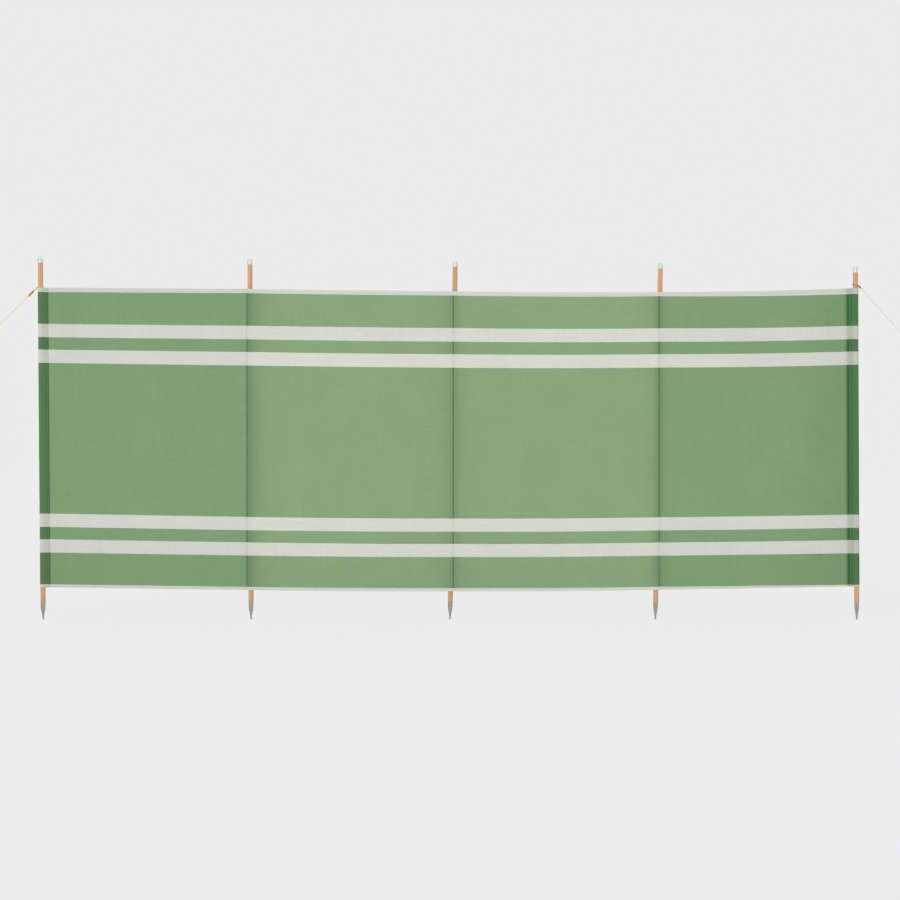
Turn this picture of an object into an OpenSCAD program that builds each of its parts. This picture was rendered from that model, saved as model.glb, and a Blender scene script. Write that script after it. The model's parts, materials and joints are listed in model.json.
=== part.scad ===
// Beach windbreak: a striped cotton cloth in four bays, carried by five wooden poles
// with metal caps and steel ground spikes, and held sideways by two guy ropes.
// Millimetres. +X runs along the cloth, +Z is up and the front faces -Y.
// The origin is the middle of the flat tip of the middle pole's spike.
// Every list runs from left to right as seen from the front.

/* [Poles] */
// Diameter of a wooden pole
pole_d = 21; // [17:0.5:30]
// Length of each pole, from the spike's tip to the cap's top
pole_len = [1517, 1512, 1502, 1495, 1477]; // [1440:1:1900]
// How far each pole's top stands to the right of its foot
pole_lean = [-12, -5, 22, 21, -6]; // [-40:1:40]
// How far each pole's foot stands to the right of its seam
pole_shift = [0, 16, -13, -14, 0]; // [-20:1:20]

/* [Cloth] */
// Width of each bay, from seam to seam and from the outer seams to the end poles' feet
bay_w = [853, 863, 862, 828]; // [500:1:1300]
// Height of the cloth at each pole
cloth_h = [1255, 1262, 1257, 1248, 1248]; // [900:1:1270]
// Height of the cloth's lower edge at each pole
cloth_low = [135, 123, 118, 124, 139]; // [100:1:180]
// Thickness of the cloth
cloth_t = 1.5; // [1:0.1:3]
// Width of an end pocket, from its outer fold to its inner row of stitches
end_pocket_w = 40; // [34:1:60]
// Width of the double row of stitches at a pocket's seam
seam_w = 6; // [3:0.5:8]
// Clearance between a pole and the pocket round it
pocket_gap = 0.3; // [0.2:0.05:1]

/* [Caps] */
// Height of a cap
cap_h = 25; // [15:1:40]
// Wall of a cap
cap_wall = 1; // [0.8:0.1:2]
// Clearance between a cap and its pole
cap_gap = 0.1; // [0.05:0.05:0.3]
// Radius of the cap's domed top
cap_dome_r = 20; // [18:1:60]

/* [Spikes] */
// Height of a spike
spike_h = 72; // [60:1:90]
// Height of the straight collar at the top of a spike
collar_h = 20; // [8:1:30]
// Diameter of the blunt tip
tip_d = 7; // [5:0.5:9]
// Height of the solid straight tip
tip_h = 12; // [5:1:20]
// Wall of the sheet steel
spike_wall = 1; // [0.6:0.1:1.5]
// How far the collar stands back from the side of the pole
collar_step = 0.5; // [0.2:0.1:1.5]
// Clearance between the wood and the inside of the spike
spike_gap = 0.2; // [0.1:0.05:0.5]

/* [Guy ropes] */
// Diameter of the rope
rope_d = 4; // [3:0.5:8]
// How far the left and the right rope run out along the ground
guy_run = [1290, 1151]; // [600:1:2000]
// How far above the cloth the left and the right rope are tied
guy_rise = [2, 12]; // [1:1:40]
// Length of the left and the right knot
knot_l = [32, 14]; // [10:1:50]
// Distance along the rope from the loop on the pole to the middle of each knot
knot_at = [39, 10]; // [10:1:120]
// Diameter of a knot
knot_d = 10; // [9:0.5:16]
// Clearance where rope lies on wood, on steel or in a knot
rope_gap = 0.2; // [0.1:0.05:0.5]

/* [Pegs] */
// Diameter of a peg's wire
peg_d = 6; // [4:0.5:9]
// Height of the rope's loop on a peg, just above the sand
peg_neck_z = 140; // [100:1:200]
// Angle by which a peg leans away from its pole
peg_lean = 12; // [0:1:30]
// Inside radius of the hook's bend
hook_r = 6; // [5:0.5:12]
// Length of the hook's straight end
hook_end = 12; // [6:1:25]
// Length of the peg's point
point_h = 14; // [8:1:25]

/* [Hidden] */

$fn = 64;
soft_fn = 32;      // facets round a pocket
cut = 1;           // how far a cut runs past the face that it opens
seat_gap = 0.3;    // between the cloth and what hangs behind it, and between a rope's end and its loop
sew_gap = 0.05;    // between a bay's edge and the end pocket that it is sewn to

pole_r = pole_d / 2;
sleeve_r = pole_r + pocket_gap + cloth_t;
cloth_y = -(cloth_t / 2 + seat_gap + sleeve_r);
cap_r = pole_r + cap_gap + cap_wall;
cap_roof = cap_dome_r - sqrt(cap_dome_r * cap_dome_r - cap_r * cap_r) + cap_wall;
spike_r = pole_r - collar_step;
rope_r = rope_d / 2;
peg_r = peg_d / 2;
hook_mid_r = hook_r + peg_r;
point_r = 1;       // blunt end of a peg's point

// Seams 1 and 5 are the end poles' feet. Seam 3 stands beside the middle pole's foot.
seam_3 = -pole_shift[2];
seam_x = [
  seam_3 - bay_w[1] - bay_w[0], seam_3 - bay_w[1], seam_3,
  seam_3 + bay_w[2], seam_3 + bay_w[2] + bay_w[3]
];

// The poles by index, 0 to 4
function is_end(i) = i == 0 || i == 4;
function foot_x(i) = seam_x[i] + pole_shift[i];
function pole_y(i) = is_end(i) ? cloth_y : 0;
function lean_angle(i) = atan(pole_lean[i] / pole_len[i]);
function cloth_top(i) = cloth_low[i] + cloth_h[i];
function pole_x(i, z) = foot_x(i) + z * tan(lean_angle(i));

// Where a bay's edge runs at height z: on a seam, or along an end pocket's inner side
pocket_reach = end_pocket_w - sleeve_r;
function inward(i) = i == 0 ? 1 : -1;
function edge_x(i, z) = is_end(i)
  ? pole_x(i, z) + inward(i) * (pocket_reach / cos(lean_angle(i)) + sew_gap)
  : seam_x[i];

// The guy ropes by side: 0 is the left one and 1 the right one. Each runs straight from the
// outer side of the loop on its pole to the near side of the loop on its peg.
pole_loop_r = pole_r + rope_gap + rope_r;
peg_loop_r = peg_r + rope_gap + rope_r;
function guy_pole(side) = side == 0 ? 0 : 4;
function out(side) = side == 0 ? -1 : 1;
function tie_z(side) = cloth_top(guy_pole(side)) + guy_rise[side] + rope_r;
function tie_x(side) = pole_x(guy_pole(side), tie_z(side));
function guy_drop(side) = tie_z(side) - peg_neck_z - peg_loop_r * sin(peg_lean);
function guy_span(side) = guy_run[side] - pole_loop_r - peg_loop_r * cos(peg_lean);
function guy_slope(side) = atan(guy_drop(side) / guy_span(side));
function guy_len(side) = norm([guy_span(side), guy_drop(side)]);

// Puts its children in the frame of pole i: origin at the tip, +Z up along the pole
module at_pole(i) {
  translate([foot_x(i), pole_y(i), 0])
    rotate([0, lean_angle(i), 0])
      children();
}

// Puts its children on a guy rope: origin in the loop on the pole, +X down along the rope
module at_guy(side) {
  translate([tie_x(side) + out(side) * pole_loop_r, cloth_y, tie_z(side)])
    mirror([side == 0 ? 1 : 0, 0, 0])
      rotate([0, guy_slope(side), 0])
        children();
}

// Puts its children on a peg: origin at the rope's height, +Z up the wire, +X away from the pole
module at_peg(side) {
  translate([tie_x(side) + out(side) * guy_run[side], cloth_y, peg_neck_z])
    mirror([side == 0 ? 1 : 0, 0, 0])
      rotate([0, peg_lean, 0])
        children();
}

// A spike's outline turned about its axis: shrink goes in from the sides, low is its foot
module spike_form(shrink, low, high) {
  rotate_extrude()
    polygon([
      [0, low],
      [tip_d / 2 - shrink, low],
      [tip_d / 2 - shrink, tip_h],
      [spike_r - shrink, spike_h - collar_h],
      [spike_r - shrink, high],
      [0, high]
    ]);
}

module pole(i) {
  color("burlywood")
    at_pole(i)
      union() {
        spike_form(spike_wall + spike_gap, tip_h + spike_gap - cut, spike_h);
        translate([0, 0, spike_h])
          cylinder(r = pole_r, h = pole_len[i] - cap_roof - spike_h);
      }
}

module cap(i) {
  color("silver")
    at_pole(i)
      translate([0, 0, pole_len[i] - cap_h])
        difference() {
          intersection() {
            cylinder(r = cap_r, h = cap_h);
            translate([0, 0, cap_h - cap_dome_r])
              sphere(r = cap_dome_r);
          }
          translate([0, 0, -cut])
            cylinder(r = pole_r + cap_gap, h = cap_h - cap_roof + cut);
        }
}

module spike(i) {
  color("dimgray")
    at_pole(i)
      difference() {
        spike_form(0, 0, spike_h);
        spike_form(spike_wall, tip_h - cut, spike_h + cut);
      }
}

// The plain sheet between two seams. Bay i lies between seams i and i + 1.
module cloth_bay(i) {
  color("darkseagreen")
    translate([0, cloth_y + cloth_t / 2, 0])
      rotate([90, 0, 0])
        linear_extrude(cloth_t)
          polygon([
            [edge_x(i, cloth_low[i]), cloth_low[i]],
            [edge_x(i + 1, cloth_low[i + 1]), cloth_low[i + 1]],
            [edge_x(i + 1, cloth_top(i + 1)), cloth_top(i + 1)],
            [edge_x(i, cloth_top(i)), cloth_top(i)]
          ]);
}

// The part of a pole that its pocket covers, grown to radius r and by extra at both ends
module covered_pole(i, r, extra) {
  at_pole(i)
    translate([0, 0, cloth_low[i] - extra])
      cylinder(r = r, h = cloth_h[i] + 2 * extra, $fn = soft_fn);
}

// The cloth folded round an end pole and sewn down to itself
module end_pocket(i) {
  color("seagreen")
    difference() {
      hull() {
        covered_pole(i, sleeve_r, 0);
        at_pole(i)
          translate([inward(i) * (pocket_reach - seam_w / 2), 0, cloth_low[i] + cloth_h[i] / 2])
            cube([seam_w, 2 * cloth_t, cloth_h[i]], center = true);
      }
      covered_pole(i, pole_r + pocket_gap, cut);
    }
}

// The tuck that holds an inner pole behind the cloth
module pole_pocket(i) {
  color("seagreen")
    difference() {
      hull() {
        covered_pole(i, sleeve_r, 0);
        translate([seam_x[i] - cloth_t, cloth_y + cloth_t / 2, cloth_low[i]])
          cube([2 * cloth_t, cloth_t, cloth_h[i]]);
      }
      covered_pole(i, pole_r + pocket_gap, cut);
    }
}

// A ring of rope, ring_r from its middle to the rope's middle
module rope_ring(ring_r) {
  rotate_extrude()
    translate([ring_r, 0])
      circle(r = rope_r, $fn = soft_fn);
}

module guy_loop(side) {
  color("khaki")
    at_pole(guy_pole(side))
      translate([0, 0, tie_z(side) / cos(lean_angle(guy_pole(side)))])
        rope_ring(pole_loop_r);
}

// The taut rope, from the loop on the pole to the loop on the peg
module guy_rope(side) {
  color("khaki")
    at_guy(side)
      translate([rope_r + seat_gap, 0, 0])
        rotate([0, 90, 0])
          cylinder(r = rope_r, h = guy_len(side) - 2 * (rope_r + seat_gap));
}

// A barrel of turns round the rope
module guy_knot(side) {
  color("peru")
    at_guy(side)
      translate([knot_at[side], 0, 0])
        rotate([0, 90, 0])
          rotate_extrude()
            polygon([
              [rope_r + rope_gap, -knot_l[side] / 2],
              [knot_d * 0.36, -knot_l[side] / 2],
              [knot_d / 2, -knot_l[side] / 4],
              [knot_d / 2, knot_l[side] / 4],
              [knot_d * 0.36, knot_l[side] / 2],
              [rope_r + rope_gap, knot_l[side] / 2]
            ]);
}

module peg_loop(side) {
  color("khaki")
    at_peg(side)
      rope_ring(peg_loop_r);
}

// A wire peg with its point in the sand and its hook turned away from the pole
module peg(side) {
  neck = rope_d;                                 // straight wire above the rope's loop
  down = (peg_neck_z - point_r * sin(peg_lean)) / cos(peg_lean);
  color("lightslategray")
    at_peg(side)
      union() {
        translate([0, 0, -down])
          cylinder(r1 = point_r, r2 = peg_r, h = point_h);
        translate([0, 0, point_h - down])
          cylinder(r = peg_r, h = down - point_h + neck);
        translate([hook_mid_r, 0, neck])
          rotate([90, 0, 0])
            rotate_extrude(angle = 180)
              translate([hook_mid_r, 0])
                circle(r = peg_r, $fn = soft_fn);
        translate([2 * hook_mid_r, 0, neck - hook_end])
          cylinder(r = peg_r, h = hook_end);
      }
}

pole(0);  // pole_1
pole(1);  // pole_2
pole(2);  // pole_3
pole(3);  // pole_4
pole(4);  // pole_5
cap(0);  // cap_1
cap(1);  // cap_2
cap(2);  // cap_3
cap(3);  // cap_4
cap(4);  // cap_5
spike(0);  // spike_1
spike(1);  // spike_2
spike(2);  // spike_3
spike(3);  // spike_4
spike(4);  // spike_5
cloth_bay(0);  // cloth_bay_1
cloth_bay(1);  // cloth_bay_2
cloth_bay(2);  // cloth_bay_3
cloth_bay(3);  // cloth_bay_4
end_pocket(0);  // end_pocket_left
end_pocket(4);  // end_pocket_right
pole_pocket(1);  // pole_pocket_2
pole_pocket(2);  // pole_pocket_3
pole_pocket(3);  // pole_pocket_4
guy_rope(0);  // guy_rope_left
guy_rope(1);  // guy_rope_right
guy_loop(0);  // guy_loop_left
guy_loop(1);  // guy_loop_right
guy_knot(0);  // guy_knot_left
guy_knot(1);  // guy_knot_right
peg_loop(0);  // peg_loop_left
peg_loop(1);  // peg_loop_right
peg(0);  // peg_left
peg(1);  // peg_right
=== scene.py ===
"""Beach windbreak: four bays of striped cotton on five wooden poles, with guy ropes and pegs.

The CAD frame gives every place. +X runs along the cloth, +Z is up and the front faces -Y.
Poles and bays are counted from the left, as seen from the front, and bay n lies between
poles n and n + 1. Lengths are in metres.
"""

import json
import math

import bmesh
import bpy
from bpy.props import FloatProperty, FloatVectorProperty, PointerProperty
from mathutils import Matrix, Vector, noise


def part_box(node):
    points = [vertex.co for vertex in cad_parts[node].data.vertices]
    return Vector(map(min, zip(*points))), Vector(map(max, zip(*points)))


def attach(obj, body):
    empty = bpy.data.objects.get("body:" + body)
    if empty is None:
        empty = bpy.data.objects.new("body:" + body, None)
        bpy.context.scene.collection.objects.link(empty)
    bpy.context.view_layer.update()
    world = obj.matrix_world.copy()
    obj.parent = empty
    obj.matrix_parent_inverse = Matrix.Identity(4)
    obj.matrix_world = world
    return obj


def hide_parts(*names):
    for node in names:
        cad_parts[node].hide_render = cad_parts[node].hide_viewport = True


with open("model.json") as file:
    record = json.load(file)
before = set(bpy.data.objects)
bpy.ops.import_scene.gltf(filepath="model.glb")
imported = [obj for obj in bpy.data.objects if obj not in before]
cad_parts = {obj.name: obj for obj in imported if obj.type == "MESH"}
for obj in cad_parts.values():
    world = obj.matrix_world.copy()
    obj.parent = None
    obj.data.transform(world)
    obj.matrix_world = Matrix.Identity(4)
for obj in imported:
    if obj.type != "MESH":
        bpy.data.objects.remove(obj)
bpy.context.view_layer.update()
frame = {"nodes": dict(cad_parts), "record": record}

bl_info = {
    "name": "Beach windbreak",
    "version": (1, 0, 0),
    "blender": (4, 5, 0),
    "location": "3D View > Sidebar > Windbreak",
    "description": "Builds a striped cotton windbreak with its poles, guy ropes and pegs",
    "category": "Object",
}

MM = 0.001
BODY = "root"

POLE_NAMES = ("left_end", "second", "middle", "fourth", "right_end")
BAYS = (1, 2, 3, 4)
OUTER_BAYS = (1, 4)
INNER_POLES = (2, 3, 4)
SIDES = {"left": 1, "right": 5}

# How far the stripes sit below their middle place at each pole: the cloth was hemmed askew.
STRIPE_DROP = (2.7 * MM, 1.5 * MM, 1.8 * MM, 2 * MM, 8.5 * MM)
# How much lower still they sit half way up, where the cloth has stretched most.
STRIPE_BOW = (0.8 * MM, 7.5 * MM, 7.7 * MM, 5.6 * MM, 2 * MM)
# How far each bay's upper and lower edge hang below a straight line between their poles.
TOP_SAG = (0.5 * MM, 1.3 * MM, 3 * MM, 4 * MM)
LOW_SAG = (0.0, 1.7 * MM, 2 * MM, 0.4 * MM)


def linear(hex_colour):
    """The linear red, green and blue of an sRGB colour such as "#8aa77e"."""
    shares = [int(hex_colour[i : i + 2], 16) / 255 for i in (1, 3, 5)]
    return tuple(c / 12.92 if c <= 0.04045 else ((c + 0.055) / 1.055) ** 2.4 for c in shares)


def mix(a, b, share):
    """The value share of the way from a to b."""
    return a + (b - a) * share


def smooth_step(x):
    """0 below 0, 1 above 1 and a smooth rise between them."""
    x = min(max(x, 0.0), 1.0)
    return x * x * (3 - 2 * x)


# ---------------------------------------------------------------- places from the CAD frame


def mount(name):
    """The record's mount of that name."""
    return next(m for m in frame["record"]["mounts"] if m["name"] == name)


class PoleLine:
    """A pole's axis, from its spike's tip upwards."""

    def __init__(self, number):
        tip = mount(f"{POLE_NAMES[number - 1]}_spike_tip")
        self.foot = Vector(tip["pos_m"])
        self.up = -Vector(tip["axis"]).normalized()

    def at(self, z):
        """The point of the axis at height z."""
        return self.foot + self.up * ((z - self.foot.z) / self.up.z)

    def turned(self, z, angle, radius):
        """The point at height z that lies radius from the axis. Angle 0 is to the right, 90 behind."""
        return self.at(z) + Vector((math.cos(angle), math.sin(angle), 0)) * radius


class BayOutline:
    """A bay's four corners, taken from its CAD node."""

    def __init__(self, number):
        points = [v.co for v in frame["nodes"][f"cloth_bay_{number}"].data.vertices]
        low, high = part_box(f"cloth_bay_{number}")
        self.number = number
        self.middle_y = (low.y + high.y) / 2
        self.thickness = high.y - low.y
        self.low_left = max(points, key=lambda p: -p.x - p.z).copy()
        self.low_right = max(points, key=lambda p: p.x - p.z).copy()
        self.top_left = max(points, key=lambda p: p.z - p.x).copy()
        self.top_right = max(points, key=lambda p: p.x + p.z).copy()
        self.width = (self.low_right.x - self.low_left.x + self.top_right.x - self.top_left.x) / 2
        self.height = (self.top_left.z - self.low_left.z + self.top_right.z - self.low_right.z) / 2

    def flat(self, s, t):
        """The point s of the way across from the left and t of the way up, with the edges' sag."""
        bow = 4 * s * (1 - s)
        low = mix(self.low_left.z, self.low_right.z, s) - bow * LOW_SAG[self.number - 1]
        top = mix(self.top_left.z, self.top_right.z, s) - bow * TOP_SAG[self.number - 1]
        left = mix(self.low_left.x, self.top_left.x, t)
        right = mix(self.low_right.x, self.top_right.x, t)
        return Vector((mix(left, right, s), self.middle_y, mix(low, top, t)))


POLES = {n: PoleLine(n) for n in range(1, 6)}
OUTLINES = {n: BayOutline(n) for n in BAYS}
CLOTH_Y = OUTLINES[1].middle_y
CLOTH_T = OUTLINES[1].thickness
CUT_HEIGHT = sum(OUTLINES[n].height for n in BAYS) / len(BAYS)
# Middle of the cloth round a pole, from the back of a pocket and the pole's own axis
SLEEVE_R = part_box("pole_pocket_3")[1].y - CLOTH_T / 2
ROPE_R = (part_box("guy_loop_left")[1].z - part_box("guy_loop_left")[0].z) / 2


def seam_span(pole):
    """The lowest and highest point of the cloth at a pole, on the seam or the end bay's edge."""
    if pole == 5:
        return OUTLINES[4].low_right, OUTLINES[4].top_right
    return OUTLINES[pole].low_left, OUTLINES[pole].top_left


# ------------------------------------------------------------------------------- settings


def length(name, description, default):
    """A setting that is a length."""
    return FloatProperty(name=name, description=description, default=default, unit="LENGTH")


def colour(name, description, default):
    """A setting that is a colour, given as an sRGB hex colour."""
    return FloatVectorProperty(
        name=name, description=description, subtype="COLOR", default=linear(default)
    )


class WindbreakClothSettings(bpy.types.PropertyGroup):
    """Stripes, colours and creases of the cloth."""

    hem_band: length("Hem band", "Height of the white band at each edge", 16 * MM)
    outer_band: length("Outer band", "Height of the green band beside a hem", 133 * MM)
    white_band: length("White band", "Height of a white stripe", 55.5 * MM)
    narrow_band: length("Narrow band", "Height of the green between two white stripes", 52 * MM)
    green: colour("Green", "Green of the middle bays", "#8aa77e")
    # The outer colours are painted shade: the middle bays' cotton drawn a little darker.
    outer_green_in_painted_shade: colour("Outer green", "Green of the outer bays", "#81a076")
    # The doubled colours are painted shade: darker copies of the cotton for doubled cloth, which lets less
    # light through.
    green_in_painted_shade: colour("Doubled green", "Green where cloth lies on cloth", "#386735")
    white: colour("White", "White of the middle bays", "#d9dbd1")
    outer_white_in_painted_shade: colour("Outer white", "White of the outer bays", "#d5d7ce")
    white_in_painted_shade: colour("Doubled white", "White where cloth lies on cloth", "#b4b6ac")
    yarn: length("Yarn spacing", "Distance between two yarns as drawn", 1.4 * MM)
    billow: length("Billow", "How far a bay's middle stands forward", 6 * MM)
    fold: length("Fold", "Depth of the folds that run in from the corners", 1.6 * MM)
    pucker: length("Pucker", "Depth of the gathers along a seam", 0.45 * MM)


class WindbreakPoleSettings(bpy.types.PropertyGroup):
    """Wood and metal of the poles and pegs."""

    wood_light: colour("Light wood", "Colour of the early wood", "#e6b68c")
    wood_dark: colour("Dark wood", "Colour of the late wood", "#c9976a")
    cap: colour("Cap", "Colour of the caps' metal", "#e4e5e6")
    spike: colour("Spike", "Colour of the spikes' metal", "#b0b1a4")
    zinc: colour("Zinc", "Colour of the pegs' zinc", "#b3b7ba")


class WindbreakRopeSettings(bpy.types.PropertyGroup):
    """Colours and lay of the guy ropes."""

    cord: colour("Cord", "Colour of the ropes", "#f1ecca")
    knot: colour("Knots", "Colour of the ropes where they are tied", "#d2a23c")
    lay: length("Lay", "Length of one turn of a strand", 14 * MM)


class WindbreakStageSettings(bpy.types.PropertyGroup):
    """Backdrop, lights and camera."""

    backdrop: colour("Backdrop", "Colour of the floor and backdrop", "#ececec")
    view_width: length("View width", "Width that the camera sees at the cloth", 3.768)
    view_height: length("View height", "Height of the camera", 0.71)
    lens: FloatProperty(name="Lens", description="Focal length", default=85.0, unit="CAMERA")
    sky: FloatProperty(name="Sky", description="Strength of the soft light from all round", default=0.72)
    key: FloatProperty(name="Key", description="Strength of the broad light from the front", default=1.1)


# -------------------------------------------------------------------------- shader nodes


def add(tree, kind, inputs=None, **settings):
    """Adds a node. Settings are its properties, and inputs its sockets' constants or links."""
    node = tree.nodes.new(kind)
    for name, value in settings.items():
        setattr(node, name, value)
    for key, value in (inputs or {}).items():
        if isinstance(value, bpy.types.NodeSocket):
            tree.links.new(value, node.inputs[key])
        else:
            node.inputs[key].default_value = value
    return node


def start_material(name):
    """A new material with an empty node tree."""
    material = bpy.data.materials.new(name)
    material.use_nodes = True
    material.node_tree.nodes.clear()
    return material, material.node_tree


def finished(material, shader):
    """The material, with its last shader linked to the output."""
    add(material.node_tree, "ShaderNodeOutputMaterial", {"Surface": shader})
    return material


def rgba(tint):
    """A colour as a socket takes it. A node's socket stays as it is."""
    return tint if isinstance(tint, bpy.types.NodeSocket) else (*tint, 1.0)


def object_place(tree):
    """The place of a point on its object."""
    return add(tree, "ShaderNodeTexCoord").outputs["Object"]


def attribute(tree, name):
    """A number that the mesh holds for each of its points."""
    return add(tree, "ShaderNodeAttribute", attribute_name=name).outputs["Fac"]


def compute(tree, operation, *operands):
    """The output of a Math node."""
    return add(tree, "ShaderNodeMath", dict(enumerate(operands)), operation=operation).outputs["Value"]


def spread(tree, value, low, high, start=0.0, end=1.0):
    """The value, moved from the range start to end onto the range low to high."""
    inputs = {"Value": value, "From Min": start, "From Max": end, "To Min": low, "To Max": high}
    return add(tree, "ShaderNodeMapRange", inputs).outputs["Result"]


def about_one(tree, pattern, width):
    """A factor that a pattern of 0 to 1 moves about 1, by width in all."""
    return compute(tree, "MULTIPLY_ADD", pattern, width, 1 - width / 2)


def product(tree, *factors):
    """All the factors multiplied."""
    result = factors[0]
    for factor in factors[1:]:
        result = compute(tree, "MULTIPLY", result, factor)
    return result


def cloudy(tree, place, size, detail, distortion=0.0):
    """Noise whose blotches are about as wide as size."""
    inputs = {"Vector": place, "Scale": 1 / size, "Detail": detail, "Distortion": distortion}
    return add(tree, "ShaderNodeTexNoise", inputs).outputs["Fac"]


def streaky(tree, place, sizes, detail, distortion=0.0):
    """Noise whose blotches have other sizes along x, y and z."""
    inputs = {"Vector": place, "Scale": [1 / size for size in sizes]}
    place = add(tree, "ShaderNodeMapping", inputs).outputs["Vector"]
    return cloudy(tree, place, 1, detail, distortion)


def blended(tree, share, first, second):
    """The colour share of the way from the first to the second."""
    inputs = {0: share, 6: rgba(first), 7: rgba(second)}
    return add(tree, "ShaderNodeMix", inputs, data_type="RGBA").outputs[2]


def scaled(tree, vector, factor):
    """A vector or a colour times a factor."""
    inputs = {0: vector, "Scale": factor}
    return add(tree, "ShaderNodeVectorMath", inputs, operation="SCALE").outputs["Vector"]


def bumped(tree, height, strength, distance):
    """The normal of a surface that rises and falls with height."""
    inputs = {"Height": height, "Strength": strength, "Distance": distance}
    return add(tree, "ShaderNodeBump", inputs).outputs["Normal"]


def surface(tree, inputs):
    """The shader of an opaque surface."""
    return add(tree, "ShaderNodeBsdfPrincipled", inputs).outputs["BSDF"]


# ------------------------------------------------------------------------------ materials

WAVER_SIZE = 20 * MM  # over which a stripe's edge wavers
# A thick yarn's length and height, drawn twice as coarse as the real ones
SLUB_SIZE = (60 * MM, 3 * MM, 1)
SLUB_TONE = 0.22
WARP_SIZE = (4 * MM, 250 * MM, 1)
WARP_TONE = 0.12
DYE_SIZE = 150 * MM  # over which the dye took unevenly
DYE_TONE = 0.10
FOOT_DARKENING_RANGE = (0.10, 0.32)  # heights between which the darker foot of the cloth fades out
FOOT_DARKENING_TONE = 0.945
CROSSING_RISE = 0.25  # how high a yarn stands at a crossing, beside a slub
WEAVE_BUMP = (0.45, 0.5 * MM)  # strength and depth
DAYLIGHT_THROUGH = 0.05  # how much of the light goes through the cloth

THREAD_FIBRE = 0.8 * MM

RING_SIZE = (4 * MM, 4 * MM, 350 * MM)  # growth rings that run nearly straight up the pole
RING_EDGE = (0.35, 0.65)
PORE_SIZE = (0.5 * MM, 0.5 * MM, 12 * MM)  # drawn twice as wide as the real pores
PORE_EDGE = (0.3, 0.5)
PORE_TONE = 0.82
PLANK_SIZE = 0.9  # so each pole looks sawn from another plank
PLANK_TONE = 0.30
DAMP_RANGE = (0.07, 0.16)  # heights between which a pole's damp foot fades out
DAMP_TONE = 0.86

DRAWN_LENGTH = 30 * MM  # of a drawing line in the metal
DRAWN_ROUGHNESS = 0.25
STAIN_SIZE = 6 * MM
STAIN_EDGE = (0.42, 0.68)
STAIN_ROUGHNESS = 0.3

FIBRE_SIZE = 0.7 * MM
FIBRE_TONES = (0.78, 1.15)
WEAR_SIZE = 50 * MM  # over which a rope is more or less worn
WEAR_TONE = 0.2


def striped_cotton(name, green, white, green_in_painted_shade, white_in_painted_shade):
    """Plain-woven deckchair cotton, dyed in the yarn and sewn into bays.

    Its yarns give the eye a dry, matt cloth with faint level streaks, where thicker yarns
    were woven in. It lets a little daylight through, and painted shade held on the mesh darkens it where
    doubled and beside the seams.
    """
    cloth = bpy.context.scene.windbreak_cloth
    material, tree = start_material(name)
    weave = add(tree, "ShaderNodeUVMap", uv_map="weave").outputs["UV"]
    height = add(tree, "ShaderNodeSeparateXYZ", {"Vector": weave}).outputs["Y"]

    # The stripes are woven in, so their edges waver by half a yarn.
    waver = spread(tree, cloudy(tree, weave, WAVER_SIZE, 2), -cloth.yarn / 2, cloth.yarn / 2)
    height = compute(tree, "ADD", height, waver)
    outward = compute(tree, "ABSOLUTE", compute(tree, "SUBTRACT", height, CUT_HEIGHT / 2))
    # Counted from the middle outwards, the cloth is white after every odd edge of a band.
    edge = CUT_HEIGHT / 2
    passed = 0.0
    for band in (cloth.hem_band, cloth.outer_band, cloth.white_band, cloth.narrow_band, cloth.white_band):
        edge -= band
        passed = compute(tree, "ADD", compute(tree, "GREATER_THAN", outward, edge), passed)
    is_white = compute(tree, "MODULO", passed, 2.0)
    # Painted shade: each yarn is mixed toward its darker copy by the amount that the mesh holds.
    green_yarn = blended(tree, attribute(tree, "green_painted_shade"), green, green_in_painted_shade)
    white_yarn = blended(tree, attribute(tree, "white_painted_shade"), white, white_in_painted_shade)

    slubs = streaky(tree, weave, SLUB_SIZE, 3)
    warps = streaky(tree, weave, WARP_SIZE, 2)
    dye = cloudy(tree, weave, DYE_SIZE, 3)
    tone = product(
        tree,
        about_one(tree, slubs, SLUB_TONE),
        about_one(tree, warps, WARP_TONE),
        about_one(tree, dye, DYE_TONE),
        spread(tree, height, FOOT_DARKENING_TONE, 1.0, *FOOT_DARKENING_RANGE),
    )
    tint = scaled(tree, blended(tree, is_white, green_yarn, white_yarn), tone)

    # A plain weave: yarns over and under by turns. The real spacing of about 0.6 mm is too
    # fine to show, so the yarns are drawn more than twice as coarse.
    turns = add(tree, "ShaderNodeSeparateXYZ", {"Vector": scaled(tree, weave, math.pi / cloth.yarn)}).outputs
    crossing = product(tree, compute(tree, "SINE", turns["X"]), compute(tree, "SINE", turns["Y"]))
    rise = compute(tree, "MULTIPLY_ADD", crossing, CROSSING_RISE, slubs)
    normal = bumped(tree, rise, *WEAVE_BUMP)
    face = surface(
        tree,
        {
            "Base Color": tint,
            "Roughness": spread(tree, slubs, 0.82, 0.96),
            "Normal": normal,
            "Specular IOR Level": 0.2,
            "Sheen Weight": 0.12,
            "Sheen Roughness": 0.5,
        },
    )
    through = add(tree, "ShaderNodeBsdfTranslucent", {"Color": tint, "Normal": normal}).outputs["BSDF"]
    both = add(tree, "ShaderNodeMixShader", {"Fac": DAYLIGHT_THROUGH, 1: face, 2: through})
    return finished(material, both.outputs["Shader"])


def cotton_thread():
    """Three-ply cotton sewing thread, undyed: a soft pale line of small raised stitches."""
    material, tree = start_material("cotton_thread")
    fibre = cloudy(tree, object_place(tree), THREAD_FIBRE, 2)
    tint = blended(tree, fibre, linear("#a3b39a"), linear("#c8d0bc"))
    normal = bumped(tree, fibre, 0.4, 0.1 * MM)
    inputs = {"Base Color": tint, "Roughness": 0.8, "Normal": normal, "Sheen Weight": 0.1}
    return finished(material, surface(tree, inputs))


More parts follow.
